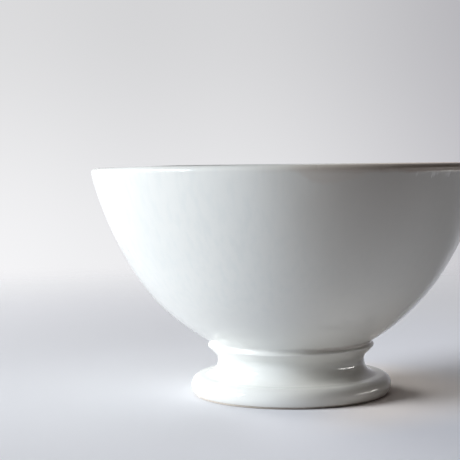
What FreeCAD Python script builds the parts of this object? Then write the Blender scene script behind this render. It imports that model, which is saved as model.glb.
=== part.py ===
import FreeCAD, Part
import math
import os

# A footed latte bowl of glazed pottery: a deep round bowl luted to a low turned foot.
# Millimetres, +Z up along the bowl's axis, origin at the centre of the standing ring.
# Every piece is turned once round the axis from a section drawn in the XZ plane.

# Thin layers
glaze_thickness = 0.3
slip_thickness = 0.5

# Bowl, measured over the glaze
bowl_height = 81.7
rim_radius = 70.0
lip_thickness = 3.8
lip_rounding_height = 1.9
wall_lean_at_lip = 14.0
wall_slope_at_foot = 30.0
floor_thickness = 6.0

# Foot, measured over the glaze and from the table up
foot_radius = 35.85
foot_widest_height = 3.4
base_thickness = 7.05
base_flat_width = 1.9
groove_radius = 5.0
neck_radius = 26.25
bead_rise = 5.35
bead_radius = 29.7
bead_edge_radius = 0.6
bead_slope = 50.0
collar_height = 1.2
crease_radius = 28.95
crease_fillet_width = 0.8
crease_fillet_height = 1.0

# Bare standing ring, and the hollow inside the foot
ring_inset = 1.75
ring_width = 3.0
glaze_line_height = 0.9
glaze_line_inset = 0.75
glaze_line_slope = 60.0
foot_wall = 4.75
hollow_fillet = 2.0
hollow_flare = 22.0

OUTWARDS, UPWARDS, INWARDS, DOWNWARDS = 0.0, 90.0, 180.0, 270.0
ANGLE_TOLERANCE = 1e-4


# A station is a point of an outline with the heading, in degrees, in which the outline runs
# through it. Outlines are arcs and lines from station to station, without corners, and run
# so that the clay is on their left.

def station(radius, height, heading):
    return FreeCAD.Vector(radius, 0, height), heading


def direction(heading):
    angle = math.radians(heading)
    return FreeCAD.Vector(math.cos(angle), 0, math.sin(angle))


def moved_left(stations, distance):
    """The outline that lies a constant distance to the left of another."""
    return [(point + direction(heading + 90) * distance, heading) for point, heading in stations]


def bend(start, end):
    """Angle in radians from the start's heading to the straight line to the end."""
    ahead = direction(start[1])
    chord = end[0] - start[0]
    return math.atan2(ahead.x * chord.z - ahead.z * chord.x, ahead.dot(chord))


def is_one_arc(start, end):
    turn = math.radians(end[1] - start[1])
    return abs(math.remainder(turn - 2 * bend(start, end), 2 * math.pi)) < ANGLE_TOLERANCE


def joint_station(start, end):
    """Where two arcs with tangents of equal length, one from each station, meet."""
    ahead, behind = direction(start[1]), direction(end[1])
    chord = end[0] - start[0]
    turn = 2 * (1 - ahead.dot(behind))
    along = chord.dot(ahead + behind)
    if turn < ANGLE_TOLERANCE:
        tangent = chord.dot(chord) / (2 * along)
    else:
        tangent = (math.sqrt(along ** 2 + turn * chord.dot(chord)) - along) / turn
    near = start[0] + ahead * tangent
    far = end[0] - behind * tangent
    heading = math.degrees(math.atan2(far.z - near.z, far.x - near.x))
    return (near + far) / 2, heading


def with_joints(stations):
    """The stations, with a joint wherever one arc can't run from one to the next."""
    full = [stations[0]]
    for start, end in zip(stations, stations[1:]):
        if not is_one_arc(start, end):
            full.append(joint_station(start, end))
        full.append(end)
    return full


def arc(start, end):
    half_turn = bend(start, end)
    if abs(half_turn) < ANGLE_TOLERANCE:
        return line(start, end)
    chord = end[0] - start[0]
    left = FreeCAD.Vector(-chord.z, 0, chord.x)
    middle = (start[0] + end[0]) / 2 - left * (math.tan(half_turn / 2) / 2)
    return Part.Arc(start[0], middle, end[0]).toShape()


def line(start, end):
    return Part.LineSegment(start[0], end[0]).toShape()


def outline(stations):
    return [arc(start, end) for start, end in zip(stations, stations[1:])]


def turned(edges):
    """The solid that a closed section makes when it is turned round the axis."""
    section = Part.Face(Part.Wire(Part.__sortEdges__(edges)))
    return section.revolve(FreeCAD.Vector(0, 0, 0), FreeCAD.Vector(0, 0, 1), 360)


# Outside of the foot: a rounded base, a groove whose narrowest place is the neck, a bead that
# slopes out over the groove to a crisp edge, and a collar that draws in to the crease.
groove_centre = neck_radius + groove_radius
neck_height = base_thickness + groove_radius
bead_centre = bead_radius - bead_edge_radius
bead_height = neck_height + bead_rise
bead_angle = math.radians(bead_slope)
crease_height = bead_height + collar_height
foot_outside = with_joints([
    station(foot_radius - glaze_line_inset, glaze_line_height, glaze_line_slope),
    station(foot_radius, foot_widest_height, UPWARDS),
    station(groove_centre + base_flat_width, base_thickness, INWARDS),
    station(groove_centre, base_thickness, INWARDS),
    station(neck_radius, neck_height, UPWARDS),
    station(
        bead_centre + bead_edge_radius * math.sin(bead_angle),
        bead_height - bead_edge_radius * math.cos(bead_angle),
        bead_slope,
    ),
    station(bead_radius, bead_height, UPWARDS),
    station(crease_radius, crease_height, UPWARDS),
])

# The bowl's wall starts at the top of the crease and runs to the lip, over it, and down
# inside to the middle of the floor.
wall_root = station(
    crease_radius + crease_fillet_width, crease_height + crease_fillet_height, wall_slope_at_foot)
crease = with_joints([foot_outside[-1], wall_root])

# Under the bowl the wall's arc carries on as a round dish, which the foot is cut to fit.
dish_over_glaze = wall_root[0].x / math.sin(math.radians(wall_slope_at_foot))
dish_of_clay = dish_over_glaze - glaze_thickness
dish_of_foot = dish_of_clay + slip_thickness
dish_centre = wall_root[0].z + dish_over_glaze * math.cos(math.radians(wall_slope_at_foot))

floor_height = dish_centre - dish_over_glaze + floor_thickness
lip_start = bowl_height - lip_rounding_height
bowl_outside = with_joints([
    wall_root,
    station(rim_radius, lip_start, UPWARDS - wall_lean_at_lip),
    station(rim_radius - lip_thickness / 2, bowl_height, INWARDS),
    station(rim_radius - lip_thickness, lip_start, DOWNWARDS - wall_lean_at_lip),
    station(0, floor_height, INWARDS),
])


def on_dish(radius, dish_radius, heading=OUTWARDS):
    """Station on a dish, at a radius from the axis, that runs outwards or inwards."""
    height = dish_centre - math.sqrt(dish_radius ** 2 - radius ** 2)
    return station(radius, height, heading + math.degrees(math.asin(radius / dish_radius)))


# Hollow of the foot: a ceiling under the bowl, and a wall that flares down to the ring.
hollow_radius = neck_radius - foot_wall
hollow_shoulder = station(
    hollow_radius, on_dish(hollow_radius, dish_over_glaze)[0].z - hollow_fillet, DOWNWARDS)
hollow_ceiling = with_joints([
    on_dish(0, dish_over_glaze),
    on_dish(hollow_radius - hollow_fillet, dish_over_glaze),
    hollow_shoulder,
])
ring_outer_radius = foot_radius - ring_inset
ring_inner_radius = ring_outer_radius - ring_width
hollow_wall = with_joints([
    hollow_shoulder,
    station(ring_inner_radius - glaze_line_inset, glaze_line_height, DOWNWARDS + hollow_flare),
])

# The clay lies one thickness of glaze to the left of all these outlines.
foot_clay = moved_left(foot_outside, glaze_thickness)
bowl_clay = moved_left(bowl_outside, glaze_thickness)
hollow_clay = moved_left(hollow_wall, glaze_thickness)
joint_outer_radius = foot_clay[-1][0].x
joint_inner_radius = hollow_clay[0][0].x


def bowl_body():
    """Clay of the bowl: a round underside, the wall with its lip, and the floor."""
    underside = on_dish(0, dish_of_clay)
    closing = [arc(underside, bowl_clay[0]), line(bowl_clay[-1], underside)]
    return turned(outline(bowl_clay) + closing)


def pedestal_foot():
    """Clay of the foot: a hollow ring that stands on the bare ring at its bottom."""
    top_outer = on_dish(joint_outer_radius, dish_of_foot, INWARDS)
    top_inner = on_dish(joint_inner_radius, dish_of_foot, INWARDS)
    standing_ring = with_joints([
        hollow_clay[-1],
        station(ring_inner_radius, 0, OUTWARDS),
        station(ring_outer_radius, 0, OUTWARDS),
        foot_clay[0],
    ])
    sides = outline(hollow_clay) + outline(standing_ring) + outline(foot_clay)
    top = [line(foot_clay[-1], top_outer), arc(top_outer, top_inner), line(top_inner, hollow_clay[0])]
    return turned(sides + top)


def luting_slip():
    """Fired slip that fills the joint between the bowl's underside and the foot's top."""
    inner_top, outer_top = (on_dish(r, dish_of_clay) for r in (joint_inner_radius, joint_outer_radius))
    inner_low, outer_low = (on_dish(r, dish_of_foot) for r in (joint_inner_radius, joint_outer_radius))
    faces = [arc(inner_top, outer_top), arc(inner_low, outer_low)]
    return turned(faces + [line(inner_low, inner_top), line(outer_low, outer_top)])


def glaze_coat():
    """Glass skin from the foot's glaze line up the outside, over the lip and down inside."""
    skin = outline(foot_outside) + outline(crease) + outline(bowl_outside)
    corner = on_dish(joint_outer_radius, dish_of_clay)
    backing = outline(foot_clay) + [line(foot_clay[-1], corner), arc(corner, bowl_clay[0])]
    ends = [line(foot_outside[0], foot_clay[0]), line(bowl_outside[-1], bowl_clay[-1])]
    return turned(skin + backing + outline(bowl_clay) + ends)


def recess_glaze():
    """Glass skin over the ceiling and the wall of the hollow in the foot."""
    skin = outline(hollow_ceiling) + outline(hollow_wall)
    corner = on_dish(joint_inner_radius, dish_of_clay)
    middle = on_dish(0, dish_of_clay)
    backing = [arc(middle, corner), line(corner, hollow_clay[0])] + outline(hollow_clay)
    ends = [line(hollow_ceiling[0], middle), line(hollow_wall[-1], hollow_clay[-1])]
    return turned(skin + backing + ends)


os.makedirs("parts", exist_ok=True)
for piece in (bowl_body, pedestal_foot, luting_slip, glaze_coat, recess_glaze):
    piece().exportStep(f"parts/{piece.__name__}.step")
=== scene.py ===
import math

import bmesh
import bpy
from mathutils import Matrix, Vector


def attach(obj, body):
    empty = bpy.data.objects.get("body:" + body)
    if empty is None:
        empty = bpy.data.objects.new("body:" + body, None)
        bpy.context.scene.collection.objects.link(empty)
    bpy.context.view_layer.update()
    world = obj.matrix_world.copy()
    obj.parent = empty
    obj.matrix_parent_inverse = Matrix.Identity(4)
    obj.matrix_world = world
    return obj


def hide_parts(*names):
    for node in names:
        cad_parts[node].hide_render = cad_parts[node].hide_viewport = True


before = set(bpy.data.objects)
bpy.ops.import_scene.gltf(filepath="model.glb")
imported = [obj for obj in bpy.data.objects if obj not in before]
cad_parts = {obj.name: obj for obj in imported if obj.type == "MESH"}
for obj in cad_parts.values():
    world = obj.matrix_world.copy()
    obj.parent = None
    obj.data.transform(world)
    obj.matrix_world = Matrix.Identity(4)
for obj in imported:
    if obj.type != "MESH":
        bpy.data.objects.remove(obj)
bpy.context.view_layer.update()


# The bowl's body. It is buff earthenware, pressed over a turning mould in one piece, with a
# thick floor and a lip rounded over with a wet sponge. Under its glaze it is dry and sandy.

# Sections are drawn in millimetres, over the glaze, as stations: a point of the outline at a
# radius and a height, and the heading in degrees with which the outline runs through it.
small_angle = 1e-4


def station(radius, height, heading):
    return Vector((radius, 0, height)), heading


def direction(heading):
    angle = math.radians(heading)
    return Vector((math.cos(angle), 0, math.sin(angle)))


def moved_left(stations, distance):
    return [(point + direction(heading + 90) * distance, heading) for point, heading in stations]


def backwards(stations):
    return [(point, heading + 180) for point, heading in reversed(stations)]


def bend(start, end):
    """Angle from the start's heading to the straight line to the end, in radians."""
    ahead = direction(start[1])
    chord = end[0] - start[0]
    return math.atan2(ahead.x * chord.z - ahead.z * chord.x, ahead.dot(chord))


def with_joints(stations):
    """Adds the station where two arcs meet, wherever one arc can't run to the next station."""
    full = [stations[0]]
    for start, end in zip(stations, stations[1:]):
        turn = math.radians(end[1] - start[1])
        if abs(math.remainder(turn - 2 * bend(start, end), 2 * math.pi)) > small_angle:
            ahead, behind = direction(start[1]), direction(end[1])
            chord = end[0] - start[0]
            opening = 2 * (1 - ahead.dot(behind))
            along = chord.dot(ahead + behind)
            if opening < small_angle:
                tangent = chord.dot(chord) / (2 * along)
            else:
                tangent = (math.sqrt(along ** 2 + opening * chord.dot(chord)) - along) / opening
            near = start[0] + ahead * tangent
            far = end[0] - behind * tangent
            heading = math.degrees(math.atan2(far.z - near.z, far.x - near.x))
            full.append(((near + far) / 2, heading))
        full.append(end)
    return full


def draw(form, stations, step, tip=None):
    """Draws an outline arc by arc, with a straight line first if there is already a tip.

    The step is the longest edge, in millimetres, and no edge turns by more than 9 degrees.
    """
    start = form.verts.new(stations[0][0])
    if tip is not None:
        form.edges.new((tip, start))
    tip = start
    for start, end in zip(stations, stations[1:]):
        chord = end[0] - start[0]
        half_turn = bend(start, end)
        if abs(half_turn) < small_angle:
            steps = math.ceil(chord.length / step)
            swept = bmesh.ops.spin(
                form, geom=[tip], cent=tip.co, axis=(0, -1, 0), dvec=chord / steps,
                angle=0, steps=steps, use_merge=False)
        else:
            radius = chord.length / (2 * math.sin(half_turn))
            length = 2 * half_turn * radius
            steps = math.ceil(max(length / step, abs(math.degrees(2 * half_turn)) / 9))
            swept = bmesh.ops.spin(
                form, geom=[tip], cent=start[0] + direction(start[1] + 90) * radius,
                axis=(0, -1, 0), angle=2 * half_turn, steps=steps, use_merge=False)
        tip = swept["geom_last"][0]
    return tip


def ramp(value, start, end):
    """0 before the start, 1 past the end, and straight between them."""
    return min(max((value - start) / (end - start), 0.0), 1.0)


def eased(share):
    return share ** 2 * (3 - 2 * share)


# What the kiln did to the turned shape, in millimetres.
rim_oval = 0.25
rim_sunk_on_left = 0.5
rim_drawn_in_on_left = 0.75
foot_off_centre = 0.55


def fired(place):
    """Where the kiln left a point: the rim oval and low on the left, the foot off centre."""
    radius = max(math.hypot(place.x, place.y), 1.0)
    oval = rim_oval * place.x * place.y / radius ** 2 * ramp(place.z, 45.0, 81.0)
    spread = 1 + oval * min(radius / 30.0, 1.0) / radius
    shift = foot_off_centre * eased(ramp(place.z, 34.0, 19.0))
    sunk = eased(ramp(-place.x / radius, 0.6, 1.0)) * ramp(place.z, 76.0, 81.7)
    return Vector((
        place.x * spread + shift + rim_drawn_in_on_left * sunk ** 2,
        place.y * spread,
        place.z - rim_sunk_on_left * sunk))


def turned(form, name, segments):
    """Turns a drawn section once round the axis, fires it, and makes it a piece, in metres."""
    bmesh.ops.remove_doubles(form, verts=form.verts, dist=1e-4)
    bmesh.ops.spin(
        form, geom=form.verts[:] + form.edges[:], cent=(0, 0, 0), axis=(0, 0, 1),
        angle=2 * math.pi, steps=segments, use_merge=True)
    bmesh.ops.remove_doubles(form, verts=form.verts, dist=1e-3)
    bmesh.ops.recalc_face_normals(form, faces=form.faces)
    as_turned = form.verts.layers.float_vector.new("as_turned")
    for corner in form.verts:
        corner[as_turned] = corner.co
        corner.co = fired(corner.co)
    bmesh.ops.scale(form, vec=(0.001, 0.001, 0.001), verts=form.verts)
    for face in form.faces:
        face.smooth = True
    sharp_from = math.radians(40)
    for edge in form.edges:
        edge.smooth = edge.calc_face_angle(0) < sharp_from
    mesh = bpy.data.meshes.new(name)
    form.to_mesh(mesh)
    form.free()
    piece = bpy.data.objects.new(name, mesh)
    bpy.context.scene.collection.objects.link(piece)
    return piece


class Signal:
    """An output of a node. A sum that is written with it adds the Math nodes for the sum."""

    def __init__(self, finish, socket):
        self.finish = finish
        self.socket = socket

    def output(self, name):
        return Signal(self.finish, self.socket.node.outputs[name])

    def maths(self, operation, first, second):
        settings = {"operation": operation}
        return self.finish.node("ShaderNodeMath", settings, {0: first, 1: second})

    def __add__(self, other):
        return self.maths("ADD", self, other)

    def __radd__(self, other):
        return self.maths("ADD", other, self)

    def __sub__(self, other):
        return self.maths("SUBTRACT", self, other)

    def __rsub__(self, other):
        return self.maths("SUBTRACT", other, self)

    def __mul__(self, other):
        return self.maths("MULTIPLY", self, other)

    def __rmul__(self, other):
        return self.maths("MULTIPLY", other, self)

    def __truediv__(self, other):
        return self.maths("DIVIDE", self, other)

    def __pow__(self, other):
        return self.maths("POWER", self, other)


class Finish:
    """The nodes of a material or of the world."""

    def __init__(self, owner):
        owner.use_nodes = True
        self.tree = owner.node_tree
        self.tree.nodes.clear()

    def node(self, kind, settings, sockets, output=0):
        made = self.tree.nodes.new(kind)
        for name, value in settings.items():
            setattr(made, name, value)
        for name, value in sockets.items():
            if isinstance(value, Signal):
                self.tree.links.new(value.socket, made.inputs[name])
            else:
                made.inputs[name].default_value = value
        if made.outputs:
            return Signal(self, made.outputs[output])

    def fade(self, value, start, end):
        """0 at the start, 1 at the end, and smooth between them."""
        return self.node(
            "ShaderNodeMapRange", {"interpolation_type": "SMOOTHSTEP"},
            {"Value": value, "From Min": start, "From Max": end})

    def blend(self, share, first, second):
        return self.node(
            "ShaderNodeMix", {"data_type": "RGBA"}, {0: share, 6: first, 7: second}, output=2)

    def clouds(self, place, size, detail=2.0):
        """Soft noise from 0 to 1, with features about that many of the place's units across."""
        return self.node(
            "ShaderNodeTexNoise", {}, {"Vector": place, "Scale": 1 / size, "Detail": detail})

    def stretched(self, place, factors):
        """The place times a factor on each axis. A pattern on it is long where that is small."""
        return self.node(
            "ShaderNodeVectorMath", {"operation": "MULTIPLY"}, {0: place, 1: factors})

    def turned_place(self):
        """Where a point was on the turned shape, in millimetres."""
        return self.node(
            "ShaderNodeAttribute", {"attribute_name": "as_turned"}, {}, output="Vector")

    def surface(self, colour, roughness, relief):
        """Ends the material. The relief is in millimetres."""
        normal = self.node("ShaderNodeBump", {}, {"Height": relief * 0.001, "Distance": 1.0})
        shader = self.node(
            "ShaderNodeBsdfPrincipled", {},
            {"Base Color": colour, "Roughness": roughness, "Normal": normal})
        self.node("ShaderNodeOutputMaterial", {}, {"Surface": shader})


bowl_height = 81.7
lip_start = bowl_height - 1.9
glaze_thickness = 0.3
dish_over_glaze = 59.5
dish_of_clay = dish_over_glaze - glaze_thickness
dish_centre = 71.13
wall_root = station(29.75, 19.6, 30.0)
bowl_outside = with_joints([
    wall_root,
    station(70.0, lip_start, 76.0),
    station(68.1, bowl_height, 180.0),
    station(66.2, lip_start, 256.0),
    station(0, 17.63, 180.0),
])
bowl_clay = moved_left(bowl_outside, glaze_thickness)


def on_dish(radius, dish_radius, heading=0.0):
    """A station on the round underside of the bowl, heading outwards, or inwards at 180."""
    height = dish_centre - math.sqrt(dish_radius ** 2 - radius ** 2)
    return station(radius, height, heading + math.degrees(math.asin(radius / dish_radius)))


body_section = bmesh.new()
draw(body_section, [on_dish(0, dish_of_clay)] + bowl_clay, 2.5)
bowl_body = turned(body_section, "bowl_body_clay", 160)

clay_pale = (0.69, 0.64, 0.57, 1)
clay_dull = (0.60, 0.545, 0.475, 1)
sand_brown = (0.46, 0.385, 0.30, 1)
grog_brown = (0.36, 0.27, 0.20, 1)
ring_grime_and_contact_shade = (0.23, 0.20, 0.175, 1)

clay = bpy.data.materials.new("buff_earthenware")
finish = Finish(clay)
place = finish.turned_place()
sand = finish.clouds(place, 0.45, 3.0)
grog = finish.node(
    "ShaderNodeTexVoronoi", {}, {"Vector": place, "Scale": 1 / 1.1}, output="Distance")
grog = finish.fade(grog, 0.22, 0.10)
patches = finish.clouds(place, 9.0)
colour = finish.blend(patches, clay_dull, clay_pale)
colour = finish.blend(finish.fade(sand, 0.56, 0.70) * 0.8, colour, sand_brown)
colour = finish.blend(grog * finish.fade(patches, 0.52, 0.60) * 0.8, colour, grog_brown)
across = finish.node("ShaderNodeSeparateXYZ", {}, {"Vector": place}, output="X")
# The bare ring darkens towards its bottom edge, less on the lit left: painted contact shade, with
# some grime.
grime_and_contact_shade = finish.fade(across.output("Z") + (patches - 0.5) * 0.6, 1.1, 0.2)
grime_and_contact_shade = grime_and_contact_shade * finish.fade(across, -34.0, 4.0) * 0.8
colour = finish.blend(grime_and_contact_shade, colour, ring_grime_and_contact_shade)
finish.surface(colour, 0.78 + sand * 0.18, sand * 0.09 + patches * 0.05 - grog * 0.03)
bowl_body.data.materials.append(clay)
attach(bowl_body, "root")
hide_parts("bowl_body")


# The pedestal foot. It is thrown apart from the bowl from the same clay and turned, when it is
# leather hard, to a round base, a groove and a sharp bead. It is hollow, and stands on a ring
# that is wiped free of glaze so that it does not stick to the kiln's shelf.
foot_outside = with_joints([
    station(35.1, 0.9, 60.0),
    station(35.85, 3.4, 90.0),
    station(33.0, 6.74, 173.0),
    station(31.25, 6.85, 180.0),
    station(26.25, 12.05, 90.0),
    station(29.56, 17.01, 50.0),
    station(29.7, 17.4, 90.0),
    station(28.95, 18.6, 90.0),
])
hollow_shoulder = station(21.5, 13.65, 270.0)
hollow_wall = with_joints([hollow_shoulder, station(30.35, 0.9, 292.0)])
foot_clay = moved_left(foot_outside, glaze_thickness)
hollow_clay = moved_left(hollow_wall, glaze_thickness)
standing_ring = with_joints([
    hollow_clay[-1],
    station(31.1, 0, 0.0),
    station(34.1, 0, 0.0),
    foot_clay[0],
])
joint_outer_radius = 28.65
joint_inner_radius = 21.8
slip_thickness = 0.5
dish_of_foot = dish_of_clay + slip_thickness

foot_section = bmesh.new()
foot_sides = hollow_clay + standing_ring[1:] + foot_clay[1:]
foot_top = [
    on_dish(joint_outer_radius, dish_of_foot, 180.0),
    on_dish(joint_inner_radius, dish_of_foot, 180.0),
]
foot_tip = draw(foot_section, foot_sides, 0.8)
draw(foot_section, [hollow_clay[0]], 0.8, draw(foot_section, foot_top, 2.0, foot_tip))
pedestal_foot = turned(foot_section, "pedestal_foot_clay", 200)
pedestal_foot.data.materials.append(clay)
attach(pedestal_foot, "root")
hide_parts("pedestal_foot")


# The luting slip. It is the potter's glue, the same clay let down with water, brushed on both
# faces before the foot is pushed on. It fires a shade paler and smoother than the clay.
slip_section = bmesh.new()
slip_low = [
    on_dish(joint_inner_radius, dish_of_foot),
    on_dish(joint_outer_radius, dish_of_foot),
]
slip_high = [
    on_dish(joint_outer_radius, dish_of_clay, 180.0),
    on_dish(joint_inner_radius, dish_of_clay, 180.0),
]
slip_tip = draw(slip_section, slip_high, 1.0, draw(slip_section, slip_low, 1.0))
draw(slip_section, [slip_low[0]], 1.0, slip_tip)
luting_slip = turned(slip_section, "luting_slip_fired", 160)

slip_thick = (0.66, 0.58, 0.47, 1)
slip_thin = (0.76, 0.69, 0.59, 1)

slip = bpy.data.materials.new("fired_slip")
finish = Finish(slip)
place = finish.turned_place()
brushed = finish.clouds(finish.stretched(place, (1, 1, 6)), 3.0)
fine = finish.clouds(place, 0.3)
colour = finish.blend(brushed, slip_thick, slip_thin)
finish.surface(colour, 0.72 + fine * 0.16, brushed * 0.06 + fine * 0.02)
luting_slip.data.materials.append(slip)
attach(luting_slip, "root")
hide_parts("luting_slip")


# The glaze coat. It is a cool white glass with tin in it, poured over the whole outside and
# inside and fired once more. It runs thin over the lip, where the clay shows brown through it,
# gathers in the crease over the bead, and ends in a soft edge just above the standing ring.
coat_section = bmesh.new()
crease = with_joints([foot_outside[-1], wall_root])
skin = foot_outside + crease[1:] + bowl_outside[1:]
coat_tip = draw(coat_section, skin, 1.1)
root_clay = [bowl_clay[0], on_dish(joint_outer_radius, dish_of_clay)]
coat_tip = draw(coat_section, backwards(bowl_clay), 4.0, coat_tip)
coat_tip = draw(
    coat_section, [(root_clay[0][0], 210.0), on_dish(joint_outer_radius, dish_of_clay, 180.0)],
    1.0, coat_tip)
coat_tip = draw(coat_section, backwards(foot_clay), 2.0, coat_tip)
draw(coat_section, [backwards(foot_clay)[-1], foot_outside[0]], 0.1, coat_tip)
glaze_coat = turned(coat_section, "glaze_coat_glass", 240)

glaze_white = (0.82, 0.828, 0.800, 1)
glaze_white_cool = (0.785, 0.808, 0.788, 1)
streak_grey = (0.70, 0.745, 0.74, 1)
pooled_grey = (0.715, 0.755, 0.74, 1)
right_half_painted_shade = (0.70, 0.675, 0.605, 1)
under_lip_painted_shade = (0.56, 0.525, 0.475, 1)
run_beige = (0.61, 0.55, 0.485, 1)
lip_brown = (0.53, 0.465, 0.39, 1)
lip_brown_dark = (0.41, 0.335, 0.275, 1)
lip_brown_red = (0.50, 0.41, 0.36, 1)
lip_edge_dark = (0.24, 0.19, 0.15, 1)
crease_dirt_and_shade = (0.36, 0.28, 0.225, 1)
ending_beige = (0.66, 0.63, 0.58, 1)
iron_brown = (0.32, 0.26, 0.20, 1)
roll_white_and_highlight = (0.92, 0.90, 0.86, 1)

glaze = bpy.data.materials.new("white_glaze")
finish = Finish(glaze)
place = finish.turned_place()
across = finish.node("ShaderNodeSeparateXYZ", {}, {"Vector": place}, output="X")
back = across.output("Y")
height = across.output("Z")
radius = (across * across + back * back + 0.01) ** 0.5
right = across / radius
front = 0 - back / radius

broad = finish.clouds(place, 22.0)
wobble = finish.clouds(place, 7.0, 3.0)
drift = finish.clouds(place, 3.0, 3.0)
streaks = finish.clouds(finish.stretched(place, (1, 1, 0.05)), 2.2)
peel = finish.clouds(place, 2.6, 1.0)
rings = finish.clouds(finish.stretched(place, (0.05, 0.05, 1)), 3.5, 1.0)

# White, a touch greyer where the glass ran down in streaks and where it lies thick in the groove.
colour = finish.blend(broad, glaze_white_cool, glaze_white)
streaked = finish.fade(streaks, 0.40, 0.72) * finish.fade(height, 22.0, 45.0)
colour = finish.blend(streaked * 0.28, colour, streak_grey)
pooled = finish.fade(radius, 28.6, 26.4) * finish.fade(height, 6.0, 9.0)
pooled = pooled * finish.fade(height, 17.0, 14.5)
colour = finish.blend(pooled * 0.3, colour, pooled_grey)

# The right half is painted warmer and duller as painted shade, and darker still below the lip
# there, also painted shade.
# The lip is worn most where the right is turned ten degrees to the front.
towards_worn = right * 0.985 + front * 0.174
worn = finish.fade(towards_worn, -0.25, 0.85)
below_lip = bowl_height - height
# Painted shade below the lip on the right.
painted_shade_under_lip = finish.fade(towards_worn + (broad - 0.5) * 0.2, -0.05, 0.60)
painted_shade_under_lip = painted_shade_under_lip * finish.fade(towards_worn, 1.15, 0.60) * finish.fade(below_lip, 56.0, -4.0)
# Painted shade over the right half.
colour = finish.blend(finish.fade(right, -0.25, 0.35) * 0.6, colour, right_half_painted_shade)
colour = finish.blend(painted_shade_under_lip * 0.9, colour, under_lip_painted_shade)

# A run of thin, beige glaze below the lip at the front.
run_depth = finish.fade(right, 0.00, 0.15) * finish.fade(right, 0.48, 0.16) * 4.2 + 1.6
run = finish.fade(run_depth + (drift - 0.5) * 1.2 - below_lip, -0.9, 0.9)
run = run * finish.fade(right, -0.04, 0.10) * finish.fade(front, 0.1, 0.4)
colour = finish.blend(run * 0.45, colour, run_beige)

# Worn lip. The clay shows brown through the glass, faintly at the front and most on the right.
band_depth = 1.7 + (wobble - 0.5) * 1.6 + worn * 0.9
thin = finish.fade((band_depth - below_lip) / (1.3 - worn * 0.8), -1.0, 1.0)
bare = finish.fade(worn + (drift - 0.5) * 0.35, 0.72, 0.98)
lip_colour = finish.blend(bare, lip_brown, lip_brown_dark)
lip_colour = finish.blend(finish.fade(wobble, 0.40, 0.60) * 0.35, lip_colour, lip_brown_red)
thin_share = thin * (0.02 + worn ** 1.5 * 0.97) * finish.fade(right, -0.75, -0.45)
colour = finish.blend(thin_share, colour, lip_colour)
edge = finish.fade(below_lip, 1.1, 0.1) * finish.fade(worn, 0.25, 0.9)
colour = finish.blend(edge * 0.12, colour, lip_edge_dark)

# Painted shade and old dirt in the crease over the bead, on the right.
crease_shade_and_dirt_mask = finish.fade(height, 17.7, 18.5) * finish.fade(height, 20.1, 19.0)
crease_shade_and_dirt_mask = crease_shade_and_dirt_mask * finish.fade(radius, 30.6, 29.6) * finish.fade(right, 0.02, 0.45)
colour = finish.blend(crease_shade_and_dirt_mask * (0.15 + drift * 0.35), colour, crease_dirt_and_shade)

# The glass thins out to beige over the last millimetres above the bare ring.
ending = finish.fade(height + (drift - 0.5) * 0.8, 2.4, 0.9) * finish.fade(radius, 28.0, 29.0)
colour = finish.blend(ending * 0.25, colour, ending_beige)

# Iron specks, and pinholes where gas came out of the clay.
speck = finish.node(
    "ShaderNodeTexVoronoi", {}, {"Vector": place, "Scale": 1 / 11.0}, output="Distance")
fleck = finish.fade(speck, 0.030, 0.016) * finish.fade(drift, 0.50, 0.56)
colour = finish.blend(fleck * 0.65, colour, iron_brown)
pinhole = finish.node(
    "ShaderNodeTexVoronoi", {}, {"Vector": place, "Scale": 1 / 5.3}, output="Distance")
pinhole = finish.fade(pinhole, 0.040, 0.020) * finish.fade(wobble, 0.56, 0.60)

# Below the worn band on the right the glass has crept back into a thick roll, with short drips.
drip = finish.fade(finish.clouds(finish.stretched(place, (1, 1, 0.12)), 2.4, 3.0), 0.50, 0.70)
roll_top = below_lip - band_depth
roll = finish.fade(roll_top, -0.4, 0.3) * finish.fade(roll_top - drip * 2.2, 1.0, 0.1)
roll = roll * finish.fade(worn, 0.93, 0.985)
# The roll is painted paler: thick white glass, and partly a painted highlight along its edge.
colour = finish.blend(roll * (0.3 + drip * 0.35), colour, roll_white_and_highlight)

# Orange peel, throwing rings, and the edges of the worn lip, the roll, the pinholes and specks.
relief = peel * 0.006 + rings * 0.010 - thin * 0.05 + roll * 0.11 - pinhole * 0.05 - fleck * 0.02

# The foot is the glossiest, and the crease and the worn lip the dullest.
dulled = finish.fade(height, 17.6, 18.6) * finish.fade(height, 23.0, 20.0) * 0.12
roughness = 0.05 + finish.fade(height, 17.0, 19.0) * 0.06 + thin * worn * 0.3 + streaks * 0.03
roughness = roughness + dulled
finish.surface(colour, roughness, relief)
glaze_coat.data.materials.append(glaze)
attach(glaze_coat, "root")
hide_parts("glaze_coat")


# The recess glaze. The same glass, in the hollow of the foot, where it is swilled round and
# poured out again, so that the bare ring parts it from the coat.
hollow_ceiling = with_joints([
    on_dish(0, dish_over_glaze),
    on_dish(19.5, dish_over_glaze),
    hollow_shoulder,
])
recess_section = bmesh.new()
recess_tip = draw(recess_section, hollow_ceiling + hollow_wall[1:], 0.8)
recess_tip = draw(recess_section, [hollow_wall[-1], backwards(hollow_clay)[0]], 0.1, recess_tip)
recess_tip = draw(recess_section, backwards(hollow_clay), 2.0, recess_tip)
draw(
    recess_section,
    [on_dish(joint_inner_radius, dish_of_clay, 180.0), on_dish(0, dish_of_clay, 180.0)],
    2.0, recess_tip)
recess_glaze = turned(recess_section, "recess_glaze_glass", 200)
recess_glaze.data.materials.append(glaze)
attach(recess_glaze, "root")
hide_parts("recess_glaze")


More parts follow.
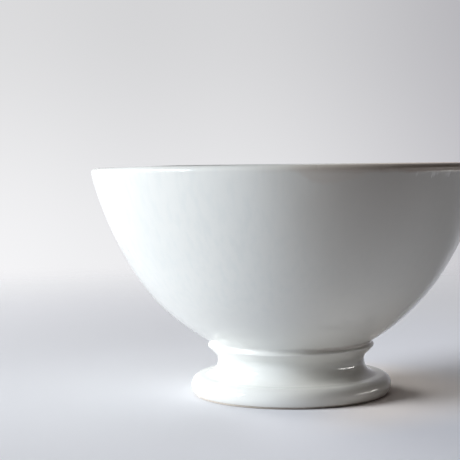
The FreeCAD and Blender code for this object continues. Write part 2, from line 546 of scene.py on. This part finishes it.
# The table under the bowl, a plain pale disc that fades out into the backdrop, with painted light
# and shade: darker on the left of the bowl, lighter and bluer on the right and far off, a painted
# shade beside the foot on the left, and a warm painted light close to the foot on the right.
table_left_painted_shade = (0.745, 0.75, 0.785, 1)
table_right_painted_light = (0.845, 0.855, 0.915, 1)
painted_shade_left_of_foot_colour = (0.68, 0.685, 0.715, 1)
painted_light_right_of_foot_colour = (0.97, 0.91, 0.88, 1)
table_far_painted_light = (0.82, 0.82, 0.855, 1)

table_form = bmesh.new()
bmesh.ops.create_circle(table_form, cap_ends=True, segments=96, radius=0.9)
table_mesh = bpy.data.meshes.new("table")
table_form.to_mesh(table_mesh)
table_form.free()
table = bpy.data.objects.new("table", table_mesh)
bpy.context.scene.collection.objects.link(table)

table_top = bpy.data.materials.new("pale_table_painted_light_and_shade")
finish = Finish(table_top)
spot = finish.node("ShaderNodeTexCoord", {}, {}, output="Object")
across = finish.node("ShaderNodeSeparateXYZ", {}, {"Vector": spot}, output="X")
away = finish.node("ShaderNodeVectorMath", {"operation": "LENGTH"}, {0: spot}, output="Value")
there = finish.fade(away, 0.62, 0.24)
shade = finish.blend(finish.fade(across, -0.06, 0.08), table_left_painted_shade, table_right_painted_light)
# Painted shade beside the foot on the left.
painted_shade_left_of_foot = finish.fade(away, 0.12, 0.055) * finish.fade(across, 0.0, -0.03)
shade = finish.blend(painted_shade_left_of_foot, shade, painted_shade_left_of_foot_colour)
# Warm painted light beside the foot on the right, in its shadow.
painted_light_right_of_foot = finish.fade(away, 0.085, 0.045) * finish.fade(across, 0.0, 0.03)
shade = finish.blend(painted_light_right_of_foot, shade, painted_light_right_of_foot_colour)
# Painted light far off.
shade = finish.blend(finish.fade(away, 0.10, 0.32), shade, table_far_painted_light)
matt = finish.node(
    "ShaderNodeBsdfPrincipled", {},
    {"Base Color": shade, "Roughness": 0.9, "Alpha": there, "Specular IOR Level": 0.2})
finish.node("ShaderNodeOutputMaterial", {}, {"Surface": matt})
table_mesh.materials.append(table_top)


# Daylight from a wide, low window on the left, a second window behind on the left, and a thin
# line of light far off on the right, which only the glaze shows. The rest of the room is dim.
lamp_distance = 2.2
aim_height = 0.03


def lamp(name, azimuth, elevation, size, watts, colour):
    """A lamp some way off, at an angle round to the left from the camera's side."""
    turn = math.radians(azimuth)
    rise = lamp_distance * math.tan(math.radians(elevation)) + aim_height
    data = bpy.data.lights.new(name, "AREA")
    data.shape = "RECTANGLE"
    data.size, data.size_y = size
    data.energy = watts
    data.color = colour
    made = bpy.data.objects.new(name, data)
    made.location = (-lamp_distance * math.sin(turn), -lamp_distance * math.cos(turn), rise)
    made.rotation_euler = (-made.location).to_track_quat("-Z", "Y").to_euler()
    made.visible_camera = False
    bpy.context.scene.collection.objects.link(made)
    return made


lamp("window", 74, 21, (1.3, 0.6), 74.5, (0.965, 1.0, 1.04))
lamp("back_window", 139, 13, (1.2, 0.5), 40.0, (1.0, 1.0, 0.98))
gap = lamp("gap_on_the_right", -95, 2, (1.5, 0.10), 7.0, (1.0, 0.98, 0.95))
gap.visible_diffuse = False

backdrop_left = (0.915, 0.915, 0.93, 1)
backdrop_middle = (0.855, 0.855, 0.872, 1)
backdrop_right = (0.52, 0.513, 0.55, 1)
room_right = (0.20, 0.18, 0.165, 1)
room_behind_camera = (0.15, 0.14, 0.13, 1)
shadow = (0, 0, 0, 1)
glow_left = (0.006, 0.006, 0.006, 1)
glow_right = (0.017, 0.011, 0.009, 1)
glow_above = (1.0, 0.94, 0.94, 1)

room = bpy.data.worlds.new("room")
bpy.context.scene.world = room
finish = Finish(room)
towards = finish.node("ShaderNodeTexCoord", {}, {}, output="Generated")
across = finish.node("ShaderNodeSeparateXYZ", {}, {"Vector": towards}, output="X")
back = across.output("Y")
up = across.output("Z")
backdrop = finish.blend(finish.fade(across, -0.23, -0.10), backdrop_left, backdrop_middle)
backdrop = finish.blend(finish.fade(across, -0.06, 0.24), backdrop, backdrop_right)
backdrop = finish.blend(finish.fade(across, 0.30, 0.8), backdrop, room_right)
backdrop = finish.blend(finish.fade(up, -0.10, 0.13) * 0.225, backdrop, shadow)
backdrop = finish.blend(finish.fade(back, 0.1, -0.5) * 0.75, backdrop, room_behind_camera)
glow = finish.blend(finish.fade(across, -0.4, 0.6), glow_left, glow_right)
glow = finish.blend(finish.fade(up, 0.35, 0.9) * 0.07, glow, glow_above)
path = finish.node("ShaderNodeLightPath", {}, {}, output="Is Camera Ray")
seen = path.maths("MAXIMUM", path, path.output("Is Glossy Ray"))
seen = seen.maths("MAXIMUM", seen, path.output("Is Transmission Ray"))
light = finish.node("ShaderNodeBackground", {}, {"Color": glow})
view = finish.node("ShaderNodeBackground", {}, {"Color": backdrop})
both = finish.node("ShaderNodeMixShader", {}, {0: seen, 1: light, 2: view})
finish.node("ShaderNodeOutputWorld", {}, {"Surface": both})


# The camera, a little higher than the rim and looking slightly down.
camera_pitch = -3.03
camera_roll = 0.65
camera_yaw = 2.545

camera_data = bpy.data.cameras.new("camera")
camera_data.lens = 101.1
camera_data.sensor_width = 36.0
camera = bpy.data.objects.new("camera", camera_data)
camera.location = (0, -0.4623, 0.0829)
camera.rotation_euler = (
    math.radians(90 + camera_pitch), math.radians(camera_roll), math.radians(camera_yaw))
bpy.context.scene.collection.objects.link(camera)
bpy.context.scene.camera = camera
bpy.context.scene.view_settings.view_transform = "Standard"
